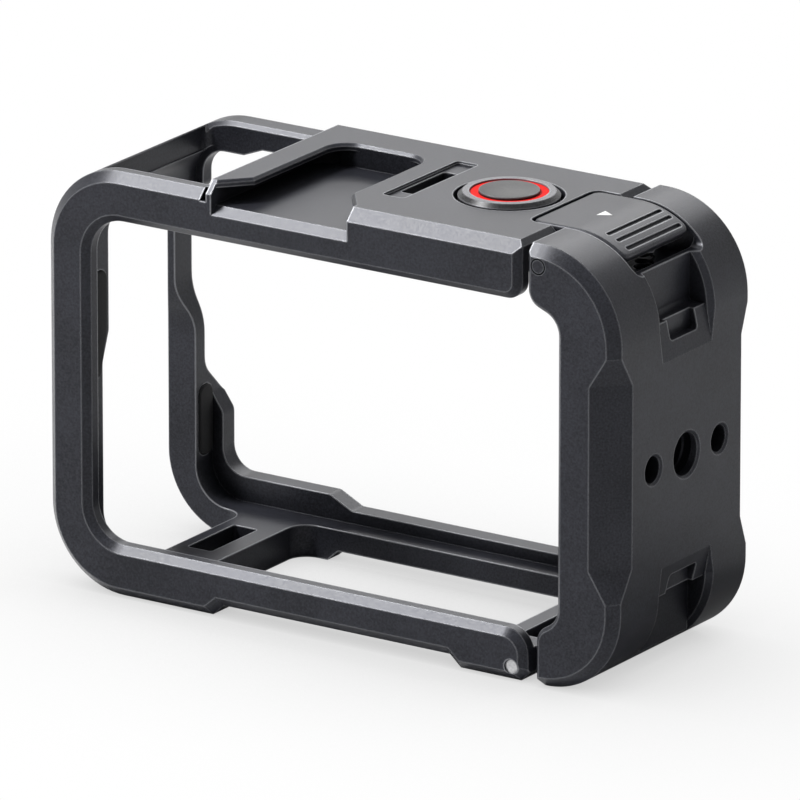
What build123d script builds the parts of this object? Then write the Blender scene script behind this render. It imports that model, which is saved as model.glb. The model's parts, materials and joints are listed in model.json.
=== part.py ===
from build123d import *
import os
from math import cos, hypot, radians, sin, tan

os.makedirs("parts", exist_ok=True)

# Action camera cage, in mm. X runs along the cage to the door, Y to the back, Z up from the feet.

# Overall sizes
WIDTH = 78.0
DEPTH = 30.0
HEIGHT = 52.3
LEFT = -WIDTH / 2
RIGHT = WIDTH / 2
FRONT = -DEPTH / 2
REAR = DEPTH / 2

# Clearances
RUNNING = 0.05
PRESS = 0.01
SIDE_GAP = 0.3

# Outer ring of the frame
CORNER = 10.0
RAIL_TOP = HEIGHT - 1.1
FRONT_BEVEL = 1.2
REAR_BEVEL = 2.7
INSIDE_BEVEL = 0.9
UNDERSIDE = 1.34
LEFT_FOOT = LEFT + 22.4
RIGHT_FOOT = RIGHT - 21.5
FOOT_SLOPE = 1.5
PLATE_END = RIGHT - 13.05
EAR_END = RIGHT - 12.17
EAR_ROUND = 3.0
EAR_SLOPE = 1.1
PLATE_ROUND = 2.0

# Camera bay
BAY_LEFT = LEFT + 4.35
BAY_FLOOR = 3.93
BAY_CEILING = HEIGHT - 3.9
BAY_FRONT = FRONT + 2.15
BAY_REAR = REAR - 2.37
BAY_CORNER = 4.5
FRONT_LIP_LEFT = LEFT + 5.83
FRONT_LIP_LOW = 6.22
FRONT_LIP_HIGH = HEIGHT - 7.0
REAR_LIP_LOW = 5.46
REAR_LIP_STEP = 7.0

# Uprights, windows and crossbar at the left end
FRONT_RAIL_INNER = FRONT + 5.2
REAR_RAIL_INNER = REAR - 5.2
FRONT_UPRIGHT_INNER = FRONT + 6.5
REAR_UPRIGHT_INNER = REAR - 7.4
UPRIGHT_STEP = HEIGHT * 0.5
UPRIGHT_RAMP = 3.6
UPRIGHT_ROUND = 7.5
SIDE_WINDOW_TOP = HEIGHT - 8.8
REAR_SLOT = LEFT + 2.56
REAR_CUTBACK = REAR - 3.9
REAR_CORNER_LEFT = LEFT + 5.4
REAR_CORNER_LOW = HEIGHT - 4.9
REAR_CORNER_ROUND = 3.0
REAR_EDGE_BEVEL = 2.33
TOP_WINDOW_LEFT = LEFT + 5.8
TOP_WINDOW_FRONT = FRONT + 2.4
TOP_WINDOW_REAR = REAR - 5.6
CROSSBAR_LEFT = LEFT + 11.2
CROSSBAR_RIGHT = LEFT + 18.6
CROSSBAR_SLOT = 3.3
CROSSBAR_SLOT_LENGTH = 9.6
RAIL_FILLET = 2.5

# Top plate
PLATE_LEFT = LEFT_FOOT
PLATE_FRONT_BEVEL = 1.45
PLATE_REAR_BEVEL = 2.9
PLATE_END_BEVEL = 0.7
WINDOW_BEVEL = 0.5

# Cold shoe in the top plate
SHOE_X = PLATE_LEFT + 10.0
SHOE_WIDTH = 18.6
SHOE_THROAT = 12.45
SHOE_FLOOR = HEIGHT - 2.83
SHOE_LIP = 0.85
SHOE_REAR = FRONT + 21.9
SHOE_CORNER = 2.8
SHOE_FLARE = 4.4
SHOE_SILL = 1.02
SHOE_EDGE = 0.35
SHOE_RELIEF = 0.85

# Strap slot in the top plate
SLOT_X = SHOE_X + SHOE_WIDTH / 2 + 1.5
SLOT_RECESS_WIDTH = 2.9
SLOT_RECESS_LENGTH = 15.6
SLOT_RECESS_DEPTH = 0.42
SLOT_RECESS_CORNER = 0.5
SLOT_LEDGE = 0.12
SLOT_Y = -0.15
SLOT_WIDTH = 2.0
SLOT_LENGTH = 9.2
SLOT_CORNER = 0.5

# Shutter button
BUTTON_X = RIGHT - 24.15
BUTTON_Y = 0.1
BUTTON_FLOOR = BAY_CEILING + 1.2
BUTTON_TRAVEL = 0.8
STEM = 2.9
BUSH_OUTER = STEM + 2.1
BUSH_FLANGE = BUSH_OUTER + 1.0
BUSH_FLANGE_TOP = BUTTON_FLOOR + 0.3
BUSH_BOTTOM = BAY_CEILING + 0.5
BEZEL_BASE = 11.8
BEZEL_GAP = 0.5
BUTTON_HOLE = BEZEL_BASE + 2 * BEZEL_GAP
BEZEL_RIM = BEZEL_BASE - 1.1
BEZEL_RISE = 0.5
BEZEL_UNDERSIDE = BUSH_FLANGE_TOP + BUTTON_TRAVEL + 0.3
BEZEL_CUP_FLOOR = HEIGHT - 0.2
RING_OUTER = 9.1
RING_INNER = 7.05
RING_TOP = HEIGHT + 0.3
CAP_RISE = 0.63
CAP_ROUND = 0.1
CAP_DOME = 0.25
CLIP_OUTER = STEM + 1.5
CLIP_THICK = 0.25
TIP_DROP = 0.4
BUTTON_SPRING_MEAN = BUSH_FLANGE + 1.6
BUTTON_SPRING_WIRE = 0.28
BUTTON_SPRING_GROOVE = 0.7
BUTTON_SPRING_TURNS = 2.5

# Side door
DOOR_LEFT = RIGHT - 11.92
DOOR_WAIST_LEFT = RIGHT - 7.88
DOOR_FOOT_LEFT = RIGHT - 10.69
DOOR_BOTTOM = 0.0
DOOR_CORNER = 10.8
DOOR_FOOT_CORNER = 10.0
DOOR_BAY_RIGHT = RIGHT - 4.7
DOOR_BAY_CORNER = 9.0
DOOR_FRONT_BEVEL = 1.3
DOOR_REAR_BEVEL = 2.3
DOOR_INNER_BEVEL = 0.45
DOOR_WAIST_BEVEL = 3.6
WAIST_LOW = 15.1
WAIST_HIGH = HEIGHT - 15.4
WAIST_RAMP = 3.6
RECESS_BACK = RIGHT - 3.05
RECESS_HALF = 5.1
UPPER_LEDGE = HEIGHT - 10.2
UPPER_PANEL = HEIGHT - 14.55
LOWER_LEDGE = 9.6
LOWER_PANEL = 13.4
PANEL_DEEP = 1.0
PANEL_NOTCH = 2.85
PANEL_NOTCH_DEPTH = 1.6
RECESS_BEVEL = 0.7
THREAD_Z = HEIGHT * 0.49
THREAD_BORE = 5.1
LOCATING_SPACING = 13.9
LOCATING_HOLE = 3.2
LOCATING_DEPTH = 3.0

# Hinge
HINGE_X = RIGHT - 14.0
HINGE_Z = 1.8
HINGE_PIN = 1.55
KNUCKLE = HINGE_PIN / 2 + 0.925
KNUCKLE_TOP = 3.6
HINGE_RECESS = HINGE_PIN + 0.2
HINGE_RECESS_DEPTH = 0.25
HINGE_PIN_END = REAR - REAR_BEVEL + HINGE_Z - HINGE_PIN / 2 - 0.1
HINGE_BAR_LEFT = RIGHT - 18.2
HINGE_BAR_RIGHT = HINGE_X - KNUCKLE - 0.39
WASHER_OUTER = HINGE_PIN + 1.85
WASHER_THICK = 0.2

# Latch
LATCH_LEFT = RIGHT - 16.7
LATCH_HALF = 6.85
LATCH_THICK = 1.2
LATCH_SWEEP = 39.0
LATCH_TOE = 1.2
LATCH_ROUND = 0.4
LATCH_TOE_GAP = 0.15
LATCH_PIN = 1.76
LATCH_PIN_X = RIGHT - 10.48
LATCH_PIN_Z = HEIGHT - 2.35
LATCH_BARREL = LATCH_PIN / 2 + 0.57
NOTCH_FLOOR = HEIGHT - 2.0
CHANNEL_FLOOR = HEIGHT - 5.4
CHANNEL_RIM = HEIGHT - 4.4
CHANNEL_END = RIGHT - 3.8
GRIP_GROOVES = 3
GRIP_PITCH = 1.29
GRIP_LAST = RIGHT - 4.9
GRIP_WIDTH = 0.54
GRIP_DEPTH = 0.35
GRIP_FRONT = -5.0
GRIP_REAR = 5.8
LATCH_SPRING_X = RIGHT - 5.8
LATCH_SPRING_MEAN = 2.0
LATCH_SPRING_WIRE = 0.3
LATCH_SPRING_TURNS = 3.0
LATCH_SPRING_SEAT = 0.7
LATCH_STUB_BOTTOM = HEIGHT - 3.5

# Rubber strips
STRIP_POCKET = 0.6
STRIP_THICK = 0.9
STRIP_GAP = 0.05


def outline(*corners):
    """Closed flat face through corners given as (across, up, radius), each rounded by its radius."""
    rounded = []
    for i, (x, y, radius) in enumerate(corners):
        here = Vector(x, y)
        before = Vector(*corners[i - 1][:2]) - here
        after = Vector(*corners[(i + 1) % len(corners)][:2]) - here
        into = before.normalized()
        out = after.normalized()
        half = radians(into.get_angle(out)) / 2
        reach = radius / tan(half)
        bisector = (into + out).normalized()
        middle = here + bisector * (radius / sin(half) - radius)
        rounded.append((here + into * reach, middle, here + out * reach, radius))
    edges = []
    for i, (start, middle, end, radius) in enumerate(rounded):
        if radius > 0:
            edges.append(ThreePointArc(start, middle, end))
        following = rounded[(i + 1) % len(rounded)][0]
        if (following - end).length > 1e-6:
            edges.append(Line(end, following))
    return make_face(edges)


def rectangle(x_from, x_to, y_from, y_to, radius=0.0):
    """Flat rectangle between two pairs of edges, its corners rounded."""
    return outline(
        (x_from, y_from, radius),
        (x_to, y_from, radius),
        (x_to, y_to, radius),
        (x_from, y_to, radius),
    )


def along_x(face, x_from, x_to):
    """Prism along X of a face drawn in (y, z)."""
    return extrude(Plane.YZ.offset(x_from) * face, amount=x_to - x_from, dir=(1, 0, 0))


def along_y(face, y_from, y_to):
    """Prism along Y of a face drawn in (x, z)."""
    return extrude(Plane.XZ.offset(-y_from) * face, amount=y_to - y_from, dir=(0, 1, 0))


def along_z(face, z_from, z_to):
    """Prism along Z of a face drawn in (x, y)."""
    return extrude(Plane.XY.offset(z_from) * face, amount=z_to - z_from, dir=(0, 0, 1))


def rod_x(y, z, diameter, x_from, x_to):
    return along_x(Pos(y, z) * Circle(diameter / 2), x_from, x_to)


def rod_y(x, z, diameter, y_from, y_to):
    return along_y(Pos(x, z) * Circle(diameter / 2), y_from, y_to)


def rod_z(x, y, diameter, z_from, z_to):
    return along_z(Pos(x, y) * Circle(diameter / 2), z_from, z_to)


def corner_cut(x, z, radius, y_from, y_to):
    """What rounding an upper right corner takes away."""
    square = Pos(x - radius / 2, z - radius / 2) * Rectangle(radius, radius)
    round_part = Pos(x - radius, z - radius) * Circle(radius)
    margin = Pos(x + radius / 2, z - radius / 2) * Rectangle(radius, radius)
    return along_y(square - round_part + margin, y_from, y_to)


def flat_edges(shape, axis, level):
    """Edges of a shape that lie in the plane across an axis at a level."""
    return [
        edge
        for edge in shape.edges()
        if abs(getattr(edge.bounding_box().min, axis) - level) < 1e-4
        and abs(getattr(edge.bounding_box().max, axis) - level) < 1e-4
    ]


def coil(x, y, z_from, z_to, mean, wire, turns):
    """Compression spring: one wire wound from one seat to the other."""
    height = z_to - z_from - wire
    path = Helix(pitch=height / turns, height=height, radius=mean / 2)
    start = Plane(origin=path @ 0, z_dir=path % 0)
    return Pos(x, y, z_from + wire / 2) * sweep(start * Circle(wire / 2), path=path, is_frenet=True)


def frame_blank():
    """Ring and top plate before any opening is cut."""
    ring = along_y(
        outline(
            (LEFT, 0, CORNER),
            (LEFT_FOOT, 0, 0),
            (LEFT_FOOT + FOOT_SLOPE, UNDERSIDE, 0),
            (RIGHT_FOOT - FOOT_SLOPE, UNDERSIDE, 0),
            (RIGHT_FOOT, 0, 0),
            (EAR_END - EAR_SLOPE, 0, 0),
            (EAR_END, EAR_SLOPE, 0),
            (EAR_END, RAIL_TOP, 0),
            (LEFT, RAIL_TOP, CORNER),
        ),
        FRONT,
        REAR,
    )
    outer = [edge for edge in flat_edges(ring, "Y", FRONT) if edge.center().X < EAR_END - 0.01]
    ring = chamfer(outer, FRONT_BEVEL)
    outer = [edge for edge in flat_edges(ring, "Y", REAR) if edge.center().X < EAR_END - 0.01]
    ring = chamfer(outer, REAR_BEVEL)
    ring = ring - along_y(rectangle(PLATE_END, RIGHT, BAY_CEILING - 8, HEIGHT), FRONT - 1, REAR + 1)

    plate = along_y(rectangle(PLATE_LEFT, PLATE_END, BAY_CEILING, HEIGHT), FRONT, REAR)
    top = flat_edges(plate, "Z", HEIGHT)
    plate = chamfer([edge for edge in top if abs(edge.center().Y - FRONT) < 0.01], PLATE_FRONT_BEVEL)
    top = flat_edges(plate, "Z", HEIGHT)
    plate = chamfer([edge for edge in top if abs(edge.center().Y - REAR) < 0.01], PLATE_REAR_BEVEL)
    top = flat_edges(plate, "Z", HEIGHT)
    plate = chamfer([edge for edge in top if edge.center().X > PLATE_END - 0.01], PLATE_END_BEVEL)
    return ring + plate


def bay_cuts():
    """Camera bay, its rear opening, and its front opening with a bevel that runs round the rails' ends."""
    beyond = RIGHT + 20
    bay = along_y(
        outline(
            (BAY_LEFT, BAY_FLOOR, BAY_CORNER),
            (beyond, BAY_FLOOR, 0),
            (beyond, BAY_CEILING, 0),
            (BAY_LEFT, BAY_CEILING, BAY_CORNER),
        ),
        BAY_FRONT,
        BAY_REAR,
    )
    rear_corner = along_y(
        rectangle(LEFT, TOP_WINDOW_LEFT + 8.0, UPRIGHT_STEP + 12.0, HEIGHT),
        TOP_WINDOW_REAR,
        REAR,
    )
    bay = bay - rear_corner

    def front_opening(grow):
        return outline(
            (FRONT_LIP_LEFT - grow, FRONT_LIP_LOW - grow, BAY_CORNER + grow),
            (EAR_END - grow, FRONT_LIP_LOW - grow, EAR_ROUND - grow),
            (EAR_END - grow, -1, 0),
            (beyond, -1, 0),
            (beyond, HEIGHT + 1, 0),
            (PLATE_END - grow, HEIGHT + 1, 0),
            (PLATE_END - grow, FRONT_LIP_HIGH + grow, PLATE_ROUND - grow),
            (FRONT_LIP_LEFT - grow, FRONT_LIP_HIGH + grow, BAY_CORNER + grow),
        )

    front = along_y(front_opening(0), FRONT, BAY_FRONT + 0.5)
    bevel = loft(
        [
            Plane.XZ.offset(-FRONT) * front_opening(INSIDE_BEVEL),
            Plane.XZ.offset(-FRONT - INSIDE_BEVEL) * front_opening(0),
        ],
        ruled=True,
    )
    lip_slope = REAR_LIP_STEP - REAR_LIP_LOW
    rear = along_y(
        outline(
            (FRONT_LIP_LEFT, REAR_LIP_STEP, 3.0),
            (FRONT_LIP_LEFT, UPRIGHT_STEP - 11.8, 1.5),
            (BAY_LEFT, UPRIGHT_STEP - 9.7, 1.5),
            (BAY_LEFT, UPRIGHT_STEP, UPRIGHT_ROUND),
            (REAR_SLOT, UPRIGHT_STEP + UPRIGHT_RAMP, UPRIGHT_ROUND),
            (REAR_SLOT, UPRIGHT_STEP + 12.4, 1.5),
            (REAR_CORNER_LEFT, REAR_CORNER_LOW - 4.4, 1.0),
            (REAR_CORNER_LEFT, REAR_CORNER_LOW, REAR_CORNER_ROUND),
            (TOP_WINDOW_LEFT + 5.3, REAR_CORNER_LOW, 0.6),
            (TOP_WINDOW_LEFT + 7.9, BAY_CEILING, 0.6),
            (beyond, BAY_CEILING, 0),
            (beyond, REAR_LIP_LOW, 0),
            (LEFT_FOOT + lip_slope, REAR_LIP_LOW, 1.0),
            (LEFT_FOOT - lip_slope, REAR_LIP_STEP, 1.0),
        ),
        REAR_UPRIGHT_INNER - 0.1,
        REAR + 1,
    )
    return [bay, front, bevel, rear]


def left_end_cuts():
    """Side window between the uprights, top window, bottom windows and the crossbar's slot."""
    outside = LEFT - 5
    side = along_x(
        outline(
            (FRONT_RAIL_INNER, BAY_FLOOR - 0.5, 0),
            (FRONT_RAIL_INNER, UPRIGHT_STEP, 1.5),
            (FRONT_UPRIGHT_INNER, UPRIGHT_STEP + UPRIGHT_RAMP, 1.5),
            (FRONT_UPRIGHT_INNER, SIDE_WINDOW_TOP, 2.0),
            (REAR_UPRIGHT_INNER, SIDE_WINDOW_TOP, 0),
            (REAR_UPRIGHT_INNER, UPRIGHT_STEP + UPRIGHT_RAMP, UPRIGHT_ROUND),
            (REAR_RAIL_INNER - 0.6, UPRIGHT_STEP, UPRIGHT_ROUND),
            (REAR_RAIL_INNER - 0.6, BAY_FLOOR - 0.5, 0),
        ),
        outside,
        FRONT_LIP_LEFT,
    )
    corner = along_z(
        outline(
            (outside, FRONT_RAIL_INNER, 0),
            (CROSSBAR_LEFT, FRONT_RAIL_INNER, RAIL_FILLET),
            (CROSSBAR_LEFT, REAR_RAIL_INNER - 0.6, RAIL_FILLET),
            (outside, REAR_RAIL_INNER - 0.6, 0),
        ),
        -1,
        BAY_FLOOR + BAY_CORNER,
    )
    bottom = along_z(
        rectangle(CROSSBAR_RIGHT, HINGE_BAR_LEFT, FRONT_RAIL_INNER, REAR_RAIL_INNER, RAIL_FILLET),
        -1,
        BAY_FLOOR + 1,
    )
    middle = (CROSSBAR_LEFT + CROSSBAR_RIGHT) / 2 - 0.55
    slot = along_z(
        rectangle(
            middle - CROSSBAR_SLOT / 2,
            middle + CROSSBAR_SLOT / 2,
            -CROSSBAR_SLOT_LENGTH / 2,
            CROSSBAR_SLOT_LENGTH / 2,
            0.4,
        ),
        -1,
        BAY_FLOOR + 1,
    )
    top = along_z(
        outline(
            (TOP_WINDOW_LEFT, TOP_WINDOW_FRONT, 1.2),
            (PLATE_LEFT, TOP_WINDOW_FRONT, 0),
            (PLATE_LEFT, TOP_WINDOW_REAR, 0),
            (TOP_WINDOW_LEFT, TOP_WINDOW_REAR, 1.2),
        ),
        BAY_CEILING - 1,
        HEIGHT + 1,
    )
    cutback_low = UPRIGHT_STEP - 6.0
    cutback_high = REAR_CORNER_LOW - 0.6
    run = REAR + 1 - REAR_CUTBACK
    cutback = along_x(
        outline(
            (REAR_CUTBACK, cutback_low, 3.0),
            (REAR_CUTBACK, cutback_high, 1.0),
            (REAR + 1, cutback_high, 0),
            (REAR + 1, cutback_low - run, 0),
        ),
        outside,
        REAR_CORNER_LEFT + REAR_CORNER_ROUND,
    )
    return [side, corner, bottom, slot, top, cutback, rear_edge_cut(), window_bevel()]


def window_bevel():
    """Bevel on the rear rail's upper edge at the top window, running down round the ring's corner."""
    margin = 0.3
    face = outline(
        (TOP_WINDOW_REAR - margin, RAIL_TOP - WINDOW_BEVEL - margin, 0),
        (TOP_WINDOW_REAR + WINDOW_BEVEL + margin, RAIL_TOP + margin, 0),
        (TOP_WINDOW_REAR - margin, RAIL_TOP + margin, 0),
    )
    turn = Axis((LEFT + CORNER, 0, RAIL_TOP - CORNER), (0, -1, 0))
    round_part = revolve(Plane.YZ.offset(LEFT + CORNER) * face, turn, revolution_arc=40)
    return along_x(face, LEFT + CORNER, PLATE_LEFT) + round_part


def rear_edge_cut():
    """Bevel round the outer front edge of the rear upright and the corner below it."""
    start = REAR_UPRIGHT_INNER - 0.5
    end = REAR_UPRIGHT_INNER + REAR_EDGE_BEVEL
    inset = (end - start) * 0.665

    def ring_face(inside):
        return outline(
            (LEFT + inside, inside, CORNER - inside),
            (CROSSBAR_LEFT, inside, 0),
            (CROSSBAR_LEFT, SIDE_WINDOW_TOP, 0),
            (LEFT + inside, SIDE_WINDOW_TOP, 0),
        )

    kept = loft(
        [Plane.XZ.offset(-start) * ring_face(inset), Plane.XZ.offset(-end) * ring_face(0)],
        ruled=True,
    )
    around = along_y(rectangle(LEFT - 1, CROSSBAR_LEFT - 2, -1, SIDE_WINDOW_TOP), start, end)
    return around - kept


def shoe_cuts():
    """Cold shoe: groove, flared throat, bevelled sill at its mouth and a relief between it and the rail."""
    left = SHOE_X - SHOE_WIDTH / 2
    right = SHOE_X + SHOE_WIDTH / 2
    throat = SHOE_THROAT / 2
    ahead = FRONT - 1
    groove = along_z(
        outline(
            (left, ahead, 0),
            (right, ahead, 0),
            (right, SHOE_REAR, SHOE_CORNER),
            (left, SHOE_REAR, SHOE_CORNER),
        ),
        SHOE_FLOOR,
        HEIGHT - SHOE_LIP,
    )
    opening = along_z(
        outline(
            (left, ahead, 0),
            (left, FRONT + 1.0, 0),
            (SHOE_X - throat, FRONT + SHOE_FLARE, 0),
            (SHOE_X - throat, SHOE_REAR, SHOE_CORNER),
            (SHOE_X + throat, SHOE_REAR, SHOE_CORNER),
            (SHOE_X + throat, FRONT + SHOE_FLARE + 1.3, 0),
            (right, FRONT + 1.6, 0),
            (right, ahead, 0),
        ),
        SHOE_FLOOR,
        HEIGHT + 1,
    )
    sill = along_x(
        outline(
            (FRONT - 0.5, SHOE_FLOOR - SHOE_SILL - 0.5, 0),
            (FRONT + SHOE_SILL, SHOE_FLOOR, 0),
            (FRONT - 0.5, SHOE_FLOOR, 0),
        ),
        left,
        right,
    )
    relief = along_y(
        rectangle(PLATE_LEFT - SHOE_RELIEF, PLATE_LEFT, RAIL_TOP - FRONT_BEVEL - 0.1, HEIGHT + 1),
        ahead,
        FRONT + 1.6,
    )
    return [groove, opening, sill, relief]


def plate_cuts():
    """Strap slot, button bore and latch notch in the top plate."""

    def recess(inset, depth):
        across = SLOT_RECESS_WIDTH / 2 - inset
        along = SLOT_RECESS_LENGTH / 2 - inset
        face = rectangle(SLOT_X - across, SLOT_X + across, -along, along, SLOT_RECESS_CORNER - inset)
        return along_z(face, HEIGHT - depth, HEIGHT + 1)

    recesses = [recess(0, SLOT_RECESS_DEPTH / 2), recess(SLOT_LEDGE, SLOT_RECESS_DEPTH)]
    across = SLOT_WIDTH / 2
    along = SLOT_LENGTH / 2
    face = rectangle(SLOT_X - across, SLOT_X + across, SLOT_Y - along, SLOT_Y + along, SLOT_CORNER)
    slot = along_z(face, BAY_CEILING - 1, HEIGHT + 1)
    button = rod_z(BUTTON_X, BUTTON_Y, BUTTON_HOLE, BUTTON_FLOOR, HEIGHT + 1)
    bush = rod_z(BUTTON_X, BUTTON_Y, BUSH_OUTER + 2 * PRESS, BAY_CEILING - 1, HEIGHT)
    clip = rod_z(BUTTON_X, BUTTON_Y, CLIP_OUTER + 1.2, BAY_CEILING - 1, BUSH_BOTTOM)
    side = LATCH_HALF + SIDE_GAP
    notch = along_z(
        outline(
            (LATCH_LEFT - 0.38, -side, 1.5),
            (RIGHT, -side, 0),
            (RIGHT, side, 0),
            (LATCH_LEFT - 0.38, side, 1.5),
        ),
        NOTCH_FLOOR,
        HEIGHT + 1,
    )
    return [*recesses, slot, button, bush, clip, notch]


def hinge_cuts():
    """Gap for the door's knuckle, the rear ear's rounded end and the bore for the hinge pin."""
    gap = along_z(
        rectangle(HINGE_BAR_RIGHT, RIGHT, FRONT_RAIL_INNER, REAR_RAIL_INNER),
        -1,
        BAY_FLOOR + 1,
    )
    rear_ear = corner_cut(EAR_END, REAR_LIP_LOW, 2.4, BAY_REAR - 0.1, REAR + 1)
    bore = rod_y(HINGE_X, HINGE_Z, HINGE_PIN + 2 * PRESS, FRONT - 1, REAR + 1)
    mouth = rod_y(HINGE_X, HINGE_Z, HINGE_RECESS, FRONT - 1, FRONT + HINGE_RECESS_DEPTH)
    return [gap, rear_ear, bore, mouth]


def front_strip_face(grow):
    """Outline in (y, z) of the strip on the front upright, which follows its stepped inner edge."""
    outer = FRONT + 2.6
    step = UPRIGHT_STEP + UPRIGHT_RAMP
    return outline(
        (outer - grow, UPRIGHT_STEP - 1.6 - grow, 1.2 + grow),
        (FRONT_RAIL_INNER - 0.6 + grow, UPRIGHT_STEP - 1.6 - grow, 0.8 + grow),
        (FRONT_UPRIGHT_INNER - 0.5 + grow, step + 0.6, 0.5),
        (FRONT_UPRIGHT_INNER - 0.5 + grow, UPRIGHT_STEP + 11.2 + grow, 1.3 + grow),
        (outer - grow, UPRIGHT_STEP + 11.2 + grow, 1.3 + grow),
    )


def rear_strip_face(grow):
    """Outline in (y, z) of the strip on the rear upright."""
    return rectangle(
        REAR - 5.25 - grow,
        REAR - 2.5 + grow,
        UPRIGHT_STEP - 16.8 - grow,
        UPRIGHT_STEP - 8.2 + grow,
        1.3 + grow,
    )


def door_strip_face(grow):
    """Outline in (y, z) of the strip inside the door, below its thread."""
    return rectangle(-6.0 - grow, 6.0 + grow, THREAD_Z - 9.0 - grow, THREAD_Z - 5.6 + grow, 1.6 + grow)


def main_frame():
    body = frame_blank()
    cuts = bay_cuts() + left_end_cuts() + shoe_cuts() + plate_cuts() + hinge_cuts()
    cuts.append(along_x(front_strip_face(STRIP_GAP), BAY_LEFT - STRIP_POCKET, BAY_LEFT + 1))
    cuts.append(along_x(rear_strip_face(STRIP_GAP), BAY_LEFT - STRIP_POCKET, BAY_LEFT + 1))
    for cut in cuts:
        body = body - cut
    throat_edges = [
        edge
        for edge in flat_edges(body, "Z", HEIGHT)
        if -SHOE_WIDTH / 2 - 0.3 < edge.center().X - SHOE_X < SHOE_WIDTH / 2 - 0.3
        and FRONT + 1.5 < edge.center().Y < SHOE_REAR + 0.1
    ]
    return chamfer(throat_edges, SHOE_EDGE)


def waist_cut(side, narrow):
    """Deeper bevel along the middle of the door's outer edge, at the front (side -1) or back (side 1)."""
    corner = (RIGHT + REAR) / 2 ** 0.5

    def at(bevel):
        return corner - bevel / 2 ** 0.5

    face = outline(
        (at(narrow), WAIST_LOW - WAIST_RAMP, 0),
        (at(DOOR_WAIST_BEVEL), WAIST_LOW, 0),
        (at(DOOR_WAIST_BEVEL), WAIST_HIGH, 0),
        (at(narrow), WAIST_HIGH + WAIST_RAMP, 0),
        (corner + 2, WAIST_HIGH + WAIST_RAMP, 0),
        (corner + 2, WAIST_LOW - WAIST_RAMP, 0),
    )
    across = Plane(origin=(0, 0, 0), x_dir=(1, side, 0), z_dir=(side, -1, 0))
    middle = (RIGHT - REAR) / 2 ** 0.5 * side
    return extrude(across.offset(middle - DEPTH / 4) * face, amount=DEPTH / 2, dir=(side, -1, 0))


def door_blank():
    """Door with its outer bevels, waist and knuckle."""
    body = along_y(
        outline(
            (DOOR_LEFT, HEIGHT, 0),
            (RIGHT, HEIGHT, DOOR_CORNER),
            (RIGHT, DOOR_BOTTOM, DOOR_FOOT_CORNER),
            (DOOR_FOOT_LEFT + 0.6, DOOR_BOTTOM, 0),
            (DOOR_FOOT_LEFT, DOOR_BOTTOM + 1.0, 0),
            (DOOR_FOOT_LEFT, DOOR_BOTTOM + 6.6, 2.2),
            (DOOR_WAIST_LEFT, DOOR_BOTTOM + 8.3, 2.6),
            (DOOR_WAIST_LEFT, HEIGHT - 8.4, 2.8),
            (DOOR_LEFT, HEIGHT - 6.7, 2.0),
        ),
        FRONT,
        REAR,
    )

    def outer_edges(level):
        return [
            edge
            for edge in flat_edges(body, "Y", level)
            if edge.center().X > DOOR_WAIST_LEFT + 0.5
            or edge.center().Z > HEIGHT - 0.01
            or edge.center().Z < DOOR_BOTTOM + 0.01
        ]

    def inner_edges(level):
        return [
            edge
            for edge in flat_edges(body, "Y", level)
            if edge.center().X < DOOR_WAIST_LEFT + 0.5
            and DOOR_BOTTOM + DOOR_FRONT_BEVEL < edge.center().Z < HEIGHT - DOOR_FRONT_BEVEL - 0.01
        ]

    body = chamfer(outer_edges(FRONT), DOOR_FRONT_BEVEL)
    body = chamfer(outer_edges(REAR), DOOR_REAR_BEVEL)
    body = chamfer(inner_edges(FRONT), DOOR_INNER_BEVEL)
    body = body - waist_cut(-1, DOOR_FRONT_BEVEL) - waist_cut(1, DOOR_REAR_BEVEL)
    bay = along_y(
        outline(
            (LEFT, BAY_FLOOR, 0),
            (DOOR_BAY_RIGHT, BAY_FLOOR, 6.0),
            (DOOR_BAY_RIGHT, BAY_CEILING, DOOR_BAY_CORNER),
            (LEFT, BAY_CEILING, 0),
        ),
        BAY_FRONT,
        BAY_REAR,
    )
    return body - bay


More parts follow.
